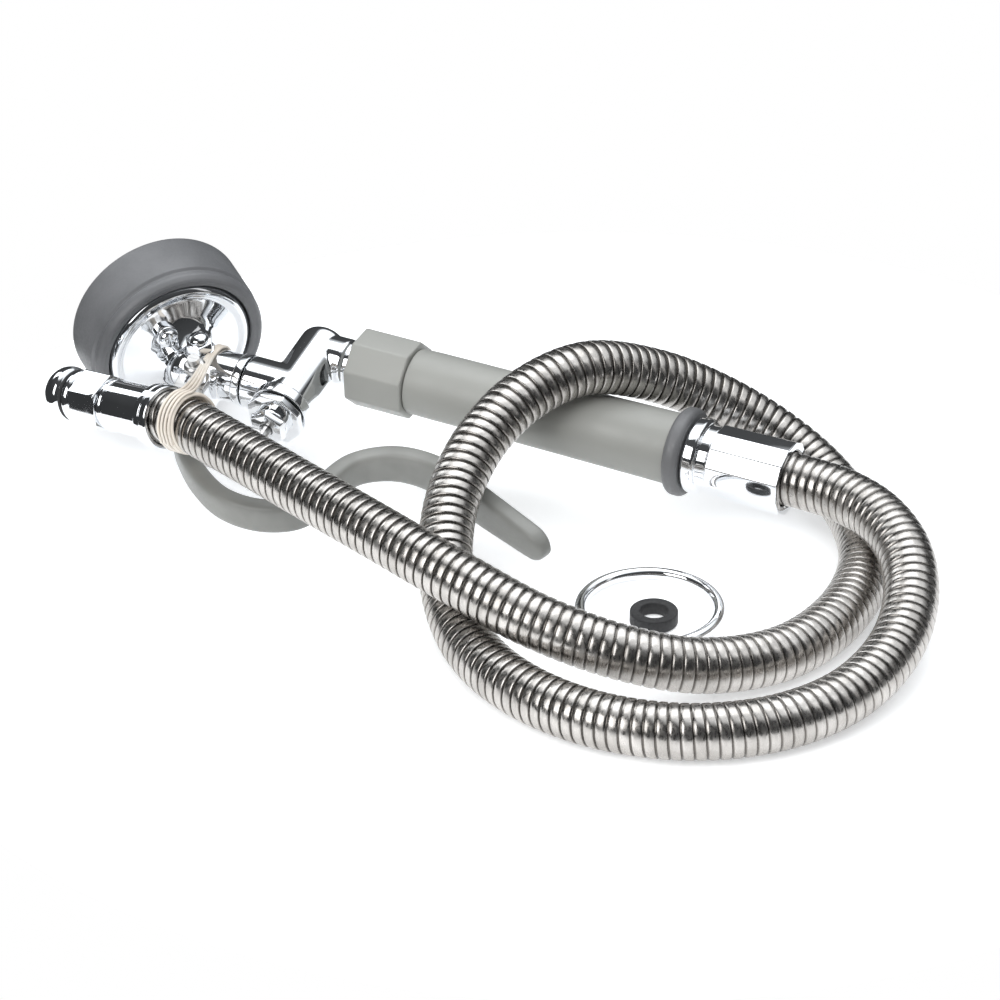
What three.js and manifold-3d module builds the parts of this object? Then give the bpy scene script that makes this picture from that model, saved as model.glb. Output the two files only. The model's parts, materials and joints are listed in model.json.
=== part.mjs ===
// Spray valve with its hand grip, armoured hose, hold-down ring and hose washer.
// Millimetres, +Z up, lying on a table at z = 0. +X follows the grip towards the hose.
// The valve, lever and grip share one plane, which the valve frame tilts and rolls.
import * as THREE from 'three';
import { mergeVertices } from 'three/addons/utils/BufferGeometryUtils.js';
import Module from 'manifold-3d';

const wasm = await Module();
wasm.setup();

// ---------- driving dimensions ----------
const GAP = 0.3; // clearance between touching pieces
const CENTRE = [-39.777, 30.641, 0]; // moves the centre of the box of the rigid pieces to the origin

// valve frame: where the grip axis starts, its pitch down to the hose, and the roll to the lever
const AXIS_HEIGHT = 35.7;
const PITCH = THREE.MathUtils.degToRad(1.4);
const ROLL = THREE.MathUtils.degToRad(15);

// spray head
const HEAD_AT = [-62.7, -15.1]; // centre of the bell's back rim in the valve plane
const HEAD_TURN = THREE.MathUtils.degToRad(39); // between the spray axis and the grip axis
const BELL_R = 28.8;
const BELL_DEPTH = 20;
const BUMPER_R = 34.4;
const BUMPER_DEPTH = 26;
const BUMPER_LIP = 2.1;
const PLATE_T = 2;
const DISH_SCREW_CIRCLE = 15.3;
const DISH_SCREW_ANGLES = [113, 293];
const HEAD_TUBE_Y = -22; // the outlet tube's distance from the grip axis
const HEAD_TUBE_R = 9.5;
const HEAD_SEAM_X = -29; // where the head screws into the valve body
const ELBOW_X = -54.2;
const WATERWAY_R = 5;

// valve barrel, across the grip axis
const BARREL_X = -11;
const BARREL_R = 10;
const BARREL_INNER_END = -10;
const BARREL_OUTER_END = 33.4;
const BARREL_BORE_R = 8.3;
const SEAT_FROM = 8;
const SEAT_TO = 10;
const SEAT_R = 4;
const STEM_R = 2.4;
const STEM_TIP = 54;
const BUTTON_T = 4.6;
const PACKING_FROM = 38.2;
const BONNET_TO = 40.4;
const PACKING_NUT_TO = 43.4;

// lever
const PIVOT = [-43, -36];
const PIN_R = 2.2;
const FORK_INNER = 9.4;
const FORK_OUTER = 12;
const LEVER_T = 8;
const LEVER_HALF_WIDTH = 8.5;

// grip, along +X
const COLLAR_FROM = 6.5;
const COLLAR_TO = 30;
const COLLAR_ACROSS = 27.8;
const COLLAR_TURN = -10; // degrees about the grip axis, from a flat facing up
const SLEEVE_TO = 137.5;
const END_RING_TO = 144;
const FLANGE_TO = 154;
const FERRULE_TO = 183;
const FERRULE_POCKET = 6;
const FERRULE_TURN = 15; // degrees about the grip axis, half a side
const TUBE_R = 8;

// hose and its inlet end
const HOSE_R = 10;
const HOSE_SIDES = 10;
const HOSE_STEPS = 60;
const INLET_DIRECTION = new THREE.Vector3(-0.948, 0.28, -0.18).normalize();

// loose pieces
const RING_AT = [155.4, -61.6];
const RING_R = 25.05;
const RING_WIRE_R = 2.25;
const WASHER_AT = [159, -65.8];
const WASHER_R = 8.7;
const WASHER_HOLE_R = 5;
const WASHER_T = 5;

// ---------- materials ----------
const material = (color, roughness, metalness) =>
  new THREE.MeshStandardMaterial({ color, roughness, metalness });
const chrome = material('#d8dadc', 0.12, 1);
const steel = material('#a7a29c', 0.35, 1);
const brass = material('#c2a152', 0.35, 1);
const blackRubber = material('#2c2c2d', 0.75, 0);
const bumperRubber = material('#74787d', 0.6, 0);
const gripPlastic = material('#a3a49e', 0.45, 0);
const leverCoat = material('#8c8d89', 0.4, 0);
const darkRubber = material('#55565a', 0.6, 0);
const bandRubber = material('#d7cdc3', 0.6, 0);

// ---------- solid helpers ----------
function signedVolume(position, index) {
  const a = new THREE.Vector3();
  const b = new THREE.Vector3();
  const c = new THREE.Vector3();
  let volume = 0;
  for (let i = 0; i < index.length; i += 3) {
    a.fromBufferAttribute(position, index[i]);
    b.fromBufferAttribute(position, index[i + 1]);
    c.fromBufferAttribute(position, index[i + 2]);
    volume += a.dot(b.cross(c)) / 6;
  }
  return volume;
}

// A three.js geometry as a solid: vertices shared, slivers dropped, faces pointing out.
function solid(geometry) {
  const bare = geometry.clone();
  bare.deleteAttribute('normal');
  bare.deleteAttribute('uv');
  const merged = mergeVertices(bare, 1e-4);
  const all = merged.index.array;
  const index = [];
  for (let i = 0; i < all.length; i += 3) {
    const [a, b, c] = [all[i], all[i + 1], all[i + 2]];
    if (a !== b && b !== c && c !== a) index.push(a, b, c);
  }
  if (signedVolume(merged.attributes.position, index) < 0) index.reverse();
  return new wasm.Manifold(new wasm.Mesh({
    numProp: 3,
    vertProperties: new Float32Array(merged.attributes.position.array),
    triVerts: new Uint32Array(index),
  }));
}

function geometryOf(body) {
  const mesh = body.getMesh();
  const geometry = new THREE.BufferGeometry();
  const position = new THREE.BufferAttribute(new Float32Array(mesh.vertProperties), 3);
  geometry.setAttribute('position', position);
  geometry.setIndex(new THREE.BufferAttribute(new Uint32Array(mesh.triVerts), 1));
  const flat = geometry.toNonIndexed();
  flat.computeVertexNormals();
  return flat;
}

function piece(parent, name, body, look) {
  const mesh = new THREE.Mesh(geometryOf(body), look);
  mesh.name = name;
  parent.add(mesh);
  return mesh;
}

const union = (...bodies) => bodies.reduce((sum, next) => sum.add(next));
const cut = (body, ...tools) => tools.reduce((rest, tool) => rest.subtract(tool), body);

// A profile of [radius, station] points turned about +X.
function turned(profile, segments = 22) {
  const points = profile.map(([radius, station]) => new THREE.Vector2(radius, station));
  return solid(new THREE.LatheGeometry(points, segments).rotateZ(-Math.PI / 2));
}

const rod = (radius, from, to, segments = 22) =>
  turned([[0, from], [radius, from], [radius, to], [0, to]], segments);

const ring = (inner, outer, from, to, segments = 22) =>
  turned([[inner, from], [outer, from], [outer, to], [inner, to], [inner, from]], segments);

const moved = (body, x, y, z) => body.translate([x, y, z]);
const alongOut = (body) => body.rotate([0, 0, -90]); // +X to -Y, out towards the lever
const alongUp = (body) => body.rotate([0, -90, 0]); // +X to +Z
const ball = (radius, x, y) => moved(solid(new THREE.SphereGeometry(radius, 22, 12)), x, y, 0);
const box = (sx, sy, sz, x, y, z) => moved(solid(new THREE.BoxGeometry(sx, sy, sz)), x, y, z);

// A regular prism along +X between two stations, measured across its flats.
function prism(sides, acrossFrom, acrossTo, from, to) {
  const corner = 1 / (2 * Math.cos(Math.PI / sides));
  const shape = new THREE.CylinderGeometry(acrossTo * corner, acrossFrom * corner, to - from, sides);
  shape.rotateY(Math.PI / sides);
  shape.rotateZ(-Math.PI / 2);
  shape.translate((from + to) / 2, 0, 0);
  return solid(shape);
}

function group(parent, x, y, z, turn = 0) {
  const node = new THREE.Group();
  node.position.set(x, y, z);
  node.rotation.z = turn;
  parent.add(node);
  return node;
}

// ---------- spray head ----------
const polar = (radius, degrees) => {
  const a = THREE.MathUtils.degToRad(degrees);
  return [radius * Math.cos(a), radius * Math.sin(a)];
};

// The jets stand in three rings, with none where a post backs the plate.
function jetPlaces() {
  const posts = DISH_SCREW_ANGLES.map((angle) => polar(DISH_SCREW_CIRCLE, angle));
  const clear = ([y, z]) => posts.every(([py, pz]) => Math.hypot(y - py, z - pz) > 4.8);
  const rings = [[6, 6.5], [12, 14.2], [18, 21.5]];
  const all = rings.flatMap(([count, radius]) =>
    Array.from({ length: count }, (_, i) => polar(radius, ((i + 0.5) * 360) / count)));
  return all.filter(clear);
}

function sprayHead(valve) {
  const head = group(valve, ...HEAD_AT, 0, -HEAD_TURN);
  const toHead = (body) =>
    moved(body, -HEAD_AT[0], -HEAD_AT[1], 0).rotate([0, 0, THREE.MathUtils.radToDeg(HEAD_TURN)]);
  const onCircle = (body, angle) => moved(body, 0, ...polar(DISH_SCREW_CIRCLE, angle));

  const bell = turned([
    [0, -BELL_DEPTH], [BELL_R, -BELL_DEPTH], [BELL_R, -1], [BELL_R - 1, 0], [25.5, -0.2], [21, 0.6],
    [16, 2.4], [12.4, 5], [10.4, 8], [9.6, 11], [0, 11],
  ], 32);
  const bellHollow = turned([
    [0, -BELL_DEPTH - 1], [BELL_R - 2, -BELL_DEPTH - 1], [BELL_R - 2, -4], [20, -2.4], [10, 1],
    [WATERWAY_R, 5], [WATERWAY_R, 11], [0, 11],
  ], 32);
  const elbow = union(
    ball(9.6, ELBOW_X, HEAD_TUBE_Y),
    moved(rod(HEAD_TUBE_R, ELBOW_X, HEAD_SEAM_X), 0, HEAD_TUBE_Y, 0),
    moved(rod(7, HEAD_SEAM_X - 1, HEAD_SEAM_X + 8), 0, HEAD_TUBE_Y, 0),
    moved(alongUp(rod(5.2, -9, 9, 16)), ...PIVOT, 0),
    box(9, 8, 12, PIVOT[0], PIVOT[1] + 7, 0),
    moved(alongUp(rod(5.4, 4, 11, 16)), ELBOW_X + 5.2, HEAD_TUBE_Y, 0),
  );
  const elbowWay = union(
    ball(WATERWAY_R, ELBOW_X, HEAD_TUBE_Y),
    moved(rod(WATERWAY_R, ELBOW_X, HEAD_SEAM_X + 9), 0, HEAD_TUBE_Y, 0),
    moved(alongUp(rod(PIN_R + 0.2, -20, 20, 16)), ...PIVOT, 0),
    moved(alongUp(rod(3.3, 3, 20, 16)), ELBOW_X + 5.2, HEAD_TUBE_Y, 0),
  );
  const bosses = DISH_SCREW_ANGLES.map((angle) => onCircle(rod(4.4, -0.5, 6.5, 14), angle));
  const screwHoles = DISH_SCREW_ANGLES.map((angle) => onCircle(rod(1.9, -5, 10, 12), angle));
  const outside = union(bell, toHead(elbow), ...bosses);
  piece(head, 'spray_head', cut(outside, bellHollow, toHead(elbowWay), ...screwHoles), chrome);

  const plug = union(rod(3, 5.5, 11.6, 14), prism(6, 9.5, 9.5, 11.3, 15), rod(3.6, 14.9, 17, 14));
  const plugged = moved(alongUp(plug), ELBOW_X + 5.2, HEAD_TUBE_Y, 0);
  piece(head, 'hub_plug', toHead(plugged), chrome);

  DISH_SCREW_ANGLES.forEach((angle, i) => {
    const screw = cut(
      union(rod(3.7, 6.8, 9.2, 14), rod(1.5, -14.5, 7, 12)),
      box(1.2, 0.9, 9, 9.2, 0, 0),
    );
    piece(head, `dish_screw_${i + 1}`, onCircle(screw, angle), chrome);
  });

  const gasketFrom = -BELL_DEPTH - GAP - 1;
  piece(head, 'face_gasket', ring(24, BELL_R - 0.2, gasketFrom, -BELL_DEPTH - GAP, 32), blackRubber);

  const plateTop = gasketFrom - GAP;
  const posts = DISH_SCREW_ANGLES.map((angle) => onCircle(rod(3.4, plateTop - 0.5, -12, 12), angle));
  const postHoles = DISH_SCREW_ANGLES.map((angle) => onCircle(rod(1.8, -15.5, -10, 12), angle));
  const jets = jetPlaces().map(([y, z]) =>
    moved(rod(1.1, plateTop - PLATE_T - 1, plateTop + 0.2, 6), 0, y, z));
  const disc = rod(BELL_R - 0.2, plateTop - PLATE_T, plateTop, 32);
  piece(head, 'spray_plate', cut(union(disc, ...posts), ...postHoles, ...jets), steel);

  const innerR = BELL_R + GAP;
  const bumper = turned([
    [innerR, -0.4], [innerR, -BUMPER_DEPTH + BUMPER_LIP], [innerR - 2.2, -BUMPER_DEPTH + BUMPER_LIP],
    [innerR - 2.2, -BUMPER_DEPTH], [BUMPER_R - 1.5, -BUMPER_DEPTH], [BUMPER_R, -BUMPER_DEPTH + 1.5],
    [BUMPER_R, -5.2], [BUMPER_R - 0.7, -4.4], [BUMPER_R - 0.7, -3.6], [BUMPER_R, -2.8],
    [BUMPER_R - 0.4, -0.8], [BUMPER_R - 1.4, 0.4], [innerR + 1, 0.6], [innerR, -0.4],
  ], 36);
  piece(head, 'bumper', bumper, bumperRubber);
}

// ---------- valve body, bonnet and plunger ----------
function valveBody(valve) {
  const barrel = union(
    moved(alongOut(rod(BARREL_R, BARREL_INNER_END + 4, BARREL_OUTER_END)), BARREL_X, 0, 0),
    moved(alongOut(turned([[0, BARREL_INNER_END], [6, BARREL_INNER_END + 0.8],
      [BARREL_R, BARREL_INNER_END + 4.4], [0, BARREL_INNER_END + 4.4]])), BARREL_X, 0, 0),
    moved(alongOut(rod(BARREL_R + 1.2, BARREL_OUTER_END - 5, BARREL_OUTER_END)), BARREL_X, 0, 0),
  );
  const outlet = moved(rod(HEAD_TUBE_R + 0.6, HEAD_SEAM_X + GAP, BARREL_X), 0, HEAD_TUBE_Y, 0);
  const neck = union(rod(9.2, BARREL_X, 2), rod(8, 1, 13));
  const ways = union(
    moved(alongOut(rod(6.8, BARREL_INNER_END + 2.5, SEAT_FROM, 16)), BARREL_X, 0, 0),
    moved(alongOut(rod(SEAT_R, SEAT_FROM - 1, SEAT_TO + 1, 16)), BARREL_X, 0, 0),
    moved(alongOut(rod(BARREL_BORE_R, SEAT_TO, BARREL_OUTER_END + 1, 16)), BARREL_X, 0, 0),
    moved(rod(7.3, HEAD_SEAM_X - 1, HEAD_SEAM_X + 8 + GAP, 16), 0, HEAD_TUBE_Y, 0),
    moved(rod(WATERWAY_R, HEAD_SEAM_X, BARREL_X, 16), 0, HEAD_TUBE_Y, 0),
    rod(5.2, BARREL_X, 14, 16),
  );
  piece(valve, 'valve_body', cut(union(barrel, outlet, neck), ways), chrome);

  const stemLine = group(valve, BARREL_X, 0, 0, -Math.PI / 2);
  const gasketTo = BARREL_OUTER_END + GAP + 0.6;
  piece(stemLine, 'bonnet_gasket', ring(8.6, 9.8, BARREL_OUTER_END + GAP, gasketTo, 16), blackRubber);

  const bonnetBore = union(rod(STEM_R + GAP, 24, 47, 14), rod(4.4, PACKING_FROM, 47, 14));
  const bonnetShape = union(
    rod(BARREL_BORE_R - GAP, 26, gasketTo + 0.5, 16),
    prism(8, 21.4, 21.4, gasketTo + GAP, 37.4),
    rod(7, 37, BONNET_TO, 16),
  );
  piece(stemLine, 'bonnet', cut(bonnetShape, bonnetBore), chrome);
  const packing = ring(STEM_R + GAP, 4.1, PACKING_FROM + GAP, BONNET_TO - GAP, 14);
  piece(stemLine, 'stem_o_ring', packing, blackRubber);
  const nut = cut(prism(6, 14, 12.5, BONNET_TO + GAP, PACKING_NUT_TO), rod(STEM_R + GAP, 38, 50, 14));
  piece(stemLine, 'packing_nut', nut, chrome);

  const stem = union(rod(STEM_R, SEAT_FROM - 0.2, STEM_TIP - 3, 14), rod(1.3, 3.4, SEAT_FROM, 12));
  piece(stemLine, 'valve_stem', stem, steel);
  piece(stemLine, 'seat_washer', ring(1.6, 5.6, 5.1, SEAT_FROM - GAP - 0.1, 16), blackRubber);
  const holder = cut(union(rod(4.6, 2.9, 4.8, 16), rod(2.8, 1, 3, 14)), rod(1.6, 2.4, 6, 12));
  piece(stemLine, 'seat_screw', holder, brass);
  const buttonFrom = STEM_TIP - BUTTON_T;
  const button = turned([
    [0, buttonFrom], [3.9, buttonFrom], [3.9, STEM_TIP - 1.6], [2.4, STEM_TIP], [0, STEM_TIP],
  ], 14);
  const socket = rod(STEM_R + GAP, buttonFrom - 1, STEM_TIP - 2.7, 14);
  piece(stemLine, 'stem_button', cut(button, socket), chrome);

  piece(stemLine, 'return_spring', spring(-7.2, 0.7, 4.6, 0.4, 2.5), steel);
}

class Helix extends THREE.Curve {
  constructor(from, to, radius, turns) {
    super();
    Object.assign(this, { from, to, radius, turns });
  }

  getPoint(t, target = new THREE.Vector3()) {
    const a = t * this.turns * 2 * Math.PI;
    const x = this.from + (this.to - this.from) * t;
    return target.set(x, this.radius * Math.cos(a), this.radius * Math.sin(a));
  }
}

function circleShape(radius, sides) {
  const points = [];
  for (let i = 0; i < sides; i += 1) {
    const a = (i / sides) * 2 * Math.PI;
    points.push(new THREE.Vector2(radius * Math.cos(a), radius * Math.sin(a)));
  }
  return new THREE.Shape(points);
}

function swept(shape, path, steps) {
  return solid(new THREE.ExtrudeGeometry(shape, { extrudePath: path, steps, bevelEnabled: false }));
}

function spring(from, to, radius, wire, turns) {
  const path = new Helix(from + wire, to - wire, radius, turns);
  return swept(circleShape(wire, 6), path, turns * 14);
}

// ---------- lever ----------
const flatShape = (points) => new THREE.Shape(points.map(([x, y]) => new THREE.Vector2(x, y)));

function slab(shape, from, to) {
  const depth = to - from;
  const geometry = new THREE.ExtrudeGeometry(shape, { depth, bevelEnabled: false, curveSegments: 8 });
  return solid(geometry.translate(0, 0, from));
}

function lever(valve) {
  const [px, py] = PIVOT;
  const outline = flatShape([
    [px - 6.4, py], [px - 5, py - 9], [px - 2, py - 20], [px + 9, py - 22.6], [px + 22, py - 22.6],
    [px + 38, py - 23.6], [px + 38, py - 18.4], [px + 22, py - 18.4], [px + 12, py - 16],
    [px + 6.4, py - 8], [px + 6.4, py],
  ]);
  const eye = (from, to) => moved(alongUp(rod(6.4, from, to, 20)), px, py, 0);
  const cheek = (from, to) => union(slab(outline, from, to), eye(from, to));
  const pad = box(9, 4.6, 2 * FORK_OUTER - 1, BARREL_X, py - 21, 0);
  const root = box(8, 6, 2 * FORK_OUTER - 1, px + 3, py - 19.5, 0);
  const hole = moved(alongUp(rod(PIN_R + 0.1, -20, 20, 16)), px, py, 0);
  const cheeks = union(cheek(FORK_INNER, FORK_OUTER), cheek(-FORK_OUTER, -FORK_INNER));
  piece(valve, 'lever_fork', cut(union(cheeks, pad, root), hole), steel);

  const centreLine = new THREE.CatmullRomCurve3([
    [-37, -60.9], [-33, -66], [-22, -76], [-7, -84], [9, -84.5], [21, -78], [25, -64], [30, -51],
    [43, -43], [61, -43.2], [87, -53.5], [118, -66],
  ].map(([x, y]) => new THREE.Vector3(x, y, 0)), false, 'centripetal');
  const corner = 3;
  const [w, t] = [LEVER_HALF_WIDTH, LEVER_T / 2];
  const section = flatShape([
    [-w, -t + corner], [-w + corner * 0.3, -t + corner * 0.3], [-w + corner, -t], [w - corner, -t],
    [w - corner * 0.3, -t + corner * 0.3], [w, -t + corner], [w, t - corner],
    [w - corner * 0.3, t - corner * 0.3], [w - corner, t], [-w + corner, t],
    [-w + corner * 0.3, t - corner * 0.3], [-w, t - corner],
  ]);
  const strap = swept(section, centreLine, 44);
  const silhouette = new THREE.Shape();
  silhouette.moveTo(-50, -6.2);
  silhouette.lineTo(30, -6.4);
  silhouette.quadraticCurveTo(60, -8.6, 84, -8.4);
  silhouette.quadraticCurveTo(104, -7.6, 112, -5);
  silhouette.quadraticCurveTo(116.4, -3, 116.4, 0);
  silhouette.quadraticCurveTo(116.4, 3, 112, 5);
  silhouette.quadraticCurveTo(104, 7.6, 84, 8.4);
  silhouette.quadraticCurveTo(60, 8.6, 30, 6.4);
  silhouette.lineTo(-50, 6.2);
  const widths = slab(silhouette, 30, 100).rotate([90, 0, 0]);
  piece(valve, 'lever_grip', strap.intersect(widths), leverCoat);

  const pin = union(rod(PIN_R, -14.2, 14.6, 16), rod(4.2, 14.4, 16.6, 16), rod(3.2, 16.5, 17.6, 16));
  const groove = ring(1.7, 4, -13.6, -12.8, 16);
  piece(valve, 'pivot_pin', moved(alongUp(cut(pin, groove)), px, py, 0), steel);
  const clip = cut(ring(2, 4.6, -13.4, -13, 16), box(1, 5, 2.6, -13.2, 3, 0));
  piece(valve, 'pin_clip', moved(alongUp(clip), px, py, 0), steel);
}

// ---------- grip ----------
function grip(valve) {
  const collar = cut(
    prism(8, COLLAR_ACROSS, COLLAR_ACROSS, COLLAR_FROM, COLLAR_TO).rotate([COLLAR_TURN, 0, 0]),
    rod(9.6, COLLAR_FROM - 1, 15, 22),
    rod(TUBE_R + 1.6, 14, 20, 22),
    rod(TUBE_R + 0.5, 15, COLLAR_TO + 1, 22),
    rod(11.2, 24, COLLAR_TO + 1, 22),
  );
  piece(valve, 'grip_collar', collar, gripPlastic);
  piece(valve, 'coupling_washer', ring(5.2, 9, 13 + GAP, 15 + GAP, 16), blackRubber);

  const tubeFrom = 15.6 + GAP;
  const tube = cut(
    union(rod(TUBE_R, tubeFrom, 171, 22), rod(TUBE_R + 1.3, tubeFrom, 18, 22)),
    rod(6.4, tubeFrom - 1, 172, 16),
  );
  piece(valve, 'handle_tube', tube, steel);

  const sleeve = turned([
    [TUBE_R + GAP, 24.5], [10.9, 24.5], [10.9, COLLAR_TO + GAP], [12.5, COLLAR_TO + GAP], [12.6, 42],
    [12.7, 70], [13.1, 110], [13.4, SLEEVE_TO], [TUBE_R + GAP, SLEEVE_TO], [TUBE_R + GAP, 24.5],
  ], 32);
  piece(valve, 'grip_sleeve', sleeve, gripPlastic);

  const endRing = turned([
    [TUBE_R + GAP, SLEEVE_TO + GAP], [15.2, SLEEVE_TO + GAP], [16.6, SLEEVE_TO + 1.8],
    [16.6, END_RING_TO - 1.4], [15.4, END_RING_TO], [TUBE_R + GAP, END_RING_TO],
    [TUBE_R + GAP, SLEEVE_TO + GAP],
  ], 32);
  piece(valve, 'end_ring', endRing, darkRubber);

  const flangeFrom = END_RING_TO + GAP;
  const flange = turned([
    [TUBE_R + GAP, flangeFrom], [13.4, flangeFrom], [14.2, flangeFrom + 0.9], [14.2, flangeFrom + 4.5],
    [13.4, flangeFrom + 5.3], [12.4, flangeFrom + 5.6], [12.4, FLANGE_TO], [TUBE_R + GAP, FLANGE_TO],
    [TUBE_R + GAP, flangeFrom],
  ], 26);
  piece(valve, 'flange_ring', flange, chrome);

  const ferruleFrom = FLANGE_TO + GAP;
  const ferrule = cut(
    prism(12, 26.4, 27, ferruleFrom, FERRULE_TO).rotate([FERRULE_TURN, 0, 0]),
    rod(TUBE_R + GAP, ferruleFrom - 1, FERRULE_TO, 22),
    rod(HOSE_R + 0.4, FERRULE_TO - FERRULE_POCKET, FERRULE_TO + 1, 22),
  );
  piece(valve, 'hose_ferrule', ferrule, chrome);
}

// ---------- hose and inlet ----------
const POCKET_X = FERRULE_TO - FERRULE_POCKET + GAP;
const INLET_AT = [-40, -71.8, 38.8];
const behindInlet = (back) => INLET_AT.map((v, i) => v - back * INLET_DIRECTION.getComponent(i));
const onGrip = (x) => [x * Math.cos(PITCH), 0, AXIS_HEIGHT - x * Math.sin(PITCH)];
const HOSE_ROUTE = [
  onGrip(POCKET_X), onGrip(189), [204, -2, 31], [221, -9, 30], [237, -23, 27], [248, -43, 21],
  [252, -68, 15], [247, -96, 11], [232, -122, 10.1], [207, -141, 10.1], [176, -148, 10.1],
  [143, -142, 10.1], [115, -125, 11], [94, -101, 18], [82, -75, 31], [80, -49, 44], [87, -24, 54.3],
  [101, -1.5, 58.1], [119, 18.4, 49.9], [139, 31.5, 38.2], [161, 36.5, 26.4], [183, 31.5, 17],
  [204, 14, 10.8], [219, -15, 10.1], [223, -51, 10.1], [215, -82, 10.8], [195, -106, 14],
  [171, -119, 20], [141, -124, 27], [109, -121, 34], [73, -112, 38.6], [34, -98.5, 40.4],
  [-2, -85, 41.2], behindInlet(13), INLET_AT,
];

function hose(parent) {
  const points = HOSE_ROUTE.map((p) => new THREE.Vector3(...p));
  const path = new THREE.CatmullRomCurve3(points, false, 'centripetal');
  piece(parent, 'hose', swept(circleShape(HOSE_R, HOSE_SIDES), path, HOSE_STEPS), steel);
}

function inletEnd(parent) {
  const end = new THREE.Group();
  end.position.set(...INLET_AT);
  end.quaternion.setFromUnitVectors(new THREE.Vector3(1, 0, 0), INLET_DIRECTION);
  parent.add(end);

  const crimp = cut(turned([
    [0, -5.5], [11.4, -5.5], [12, -4.8], [12, 0.6], [11.2, 1.6], [0, 1.6],
  ], 26), rod(HOSE_R + 0.5, -7, GAP, 26), rod(5, -1, 3, 16));
  piece(end, 'crimp_ring', crimp, chrome);
  const ferrule = cut(rod(9.8, 1.9, 24.1, 26), rod(5, 0, 20, 16), rod(7.2, 18, 27, 16));
  piece(end, 'inlet_ferrule', ferrule, chrome);
  const hex = cut(
    union(prism(6, 20, 20, 24.4, 38.6), rod(6.9, 19, 27, 16)),
    rod(4.8, 18, 40, 16),
    rod(7.6, 35.6, 40, 16),
  );
  piece(end, 'inlet_hex', hex, chrome);
  const nipple = cut(turned([
    [0, 35.9], [7.3, 35.9], [7.3, 39.3], [9.2, 39.6], [10.2, 41], [10.2, 42.4], [8.6, 43.4], [8.6, 45.6],
    [10, 46.6], [10.4, 48.6], [9.9, 51.2], [8.4, 53.6], [0, 53.6],
  ], 26), rod(5.6, 30, 55, 20));
  piece(end, 'inlet_nipple', nipple, chrome);
  piece(end, 'inlet_o_ring', turned([
    [8.9, 44], [9.8, 44], [9.8, 45], [8.9, 45], [8.9, 44],
  ], 26), blackRubber);
}

function rubberBand(parent) {
  const at = new THREE.Vector3(...HOSE_ROUTE.at(-2));
  const before = new THREE.Vector3(...HOSE_ROUTE.at(-3));
  const along = at.clone().sub(before).normalize();
  const band = new THREE.Group();
  band.position.copy(at).addScaledVector(along, -3);
  band.quaternion.setFromUnitVectors(new THREE.Vector3(1, 0, 0), along);
  parent.add(band);
  const wraps = ring(HOSE_R + 0.7, HOSE_R + 1.9, -4.5, 4.5, 26);
  piece(band, 'rubber_band', wraps, bandRubber);
}

// ---------- loose pieces ----------
function looseRing(parent) {
  const ringGeometry = new THREE.TorusGeometry(RING_R, RING_WIRE_R, 12, 32);
  piece(parent, 'hold_down_ring', moved(solid(ringGeometry), ...RING_AT, RING_WIRE_R), chrome);
}

function looseWasher(parent) {
  const flat = alongUp(ring(WASHER_HOLE_R, WASHER_R, 0, WASHER_T, 22));
  piece(parent, 'hose_washer', moved(flat, ...WASHER_AT, 0), blackRubber);
}

const table = new THREE.Group();
table.position.set(...CENTRE);
const valve = new THREE.Group();
valve.position.set(0, 0, AXIS_HEIGHT);
valve.rotation.set(ROLL, PITCH, 0, 'YXZ');
table.add(valve);
sprayHead(valve);
valveBody(valve);
lever(valve);
grip(valve);
hose(table);
inletEnd(table);
rubberBand(table);
looseRing(table);
looseWasher(table);

const part = new THREE.Group();
part.add(table);

export default part;
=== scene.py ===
import json
import math

import bmesh
import bpy
import numpy as np
from mathutils import Matrix, Vector


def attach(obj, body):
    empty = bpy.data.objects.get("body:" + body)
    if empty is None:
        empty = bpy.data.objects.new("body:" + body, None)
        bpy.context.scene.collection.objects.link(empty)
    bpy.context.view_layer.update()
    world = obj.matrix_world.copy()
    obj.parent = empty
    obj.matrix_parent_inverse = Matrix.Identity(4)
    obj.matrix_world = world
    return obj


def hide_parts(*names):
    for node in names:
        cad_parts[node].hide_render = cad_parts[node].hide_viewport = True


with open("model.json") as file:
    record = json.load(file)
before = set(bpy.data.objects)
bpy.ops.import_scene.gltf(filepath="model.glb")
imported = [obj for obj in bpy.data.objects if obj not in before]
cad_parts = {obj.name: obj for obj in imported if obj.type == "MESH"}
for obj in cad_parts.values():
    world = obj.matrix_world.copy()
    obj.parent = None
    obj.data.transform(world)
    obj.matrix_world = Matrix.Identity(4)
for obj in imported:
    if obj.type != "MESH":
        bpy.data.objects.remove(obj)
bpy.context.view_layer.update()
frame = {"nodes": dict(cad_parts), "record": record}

scene = bpy.context.scene
record = frame["record"]
BODY_OF = {node: body for body, nodes in record["behaviour"]["bodies"].items() for node in nodes}
SLOT_OF = {part["node"]: part["material_slot"] for part in record["subparts"]}

# ---------- driving dimensions, in millimetres ----------
CENTRE = (-39.777, 30.641, 0)
AXIS_HEIGHT = 35.7
PITCH = math.radians(1.4)
ROLL = math.radians(15)

HEAD_AT = (-62.7, -15.1)
HEAD_TURN = math.radians(39)
BELL_R = 28.8
BELL_DEPTH = 20
BUMPER_R = 34.4
BUMPER_DEPTH = 26
BUMPER_LIP = 2.1
DISH_SCREW_CIRCLE = 15.3
DISH_SCREW_ANGLES = (113, 293)
HEAD_TUBE_Y = -22
HEAD_TUBE_R = 9.5
HEAD_SEAM_X = -29
ELBOW_X = -54.2
PLUG_X = ELBOW_X + 5.2
WATERWAY_R = 5
FACE_GASKET_T = 1
SPRAY_PLATE_T = 2

BARREL_X = -11
BARREL_R = 10
BARREL_FROM = -10
BARREL_TO = 33.4
STEM_R = 2.4
STEM_TIP = 54
BUTTON_T = 4.6
BONNET_FROM = 0.9  # past the start of its gasket
BONNET_FLATS_TO = 37.4
BONNET_TO = 40.4
PACKING_NUT_TO = 43.4

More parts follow.
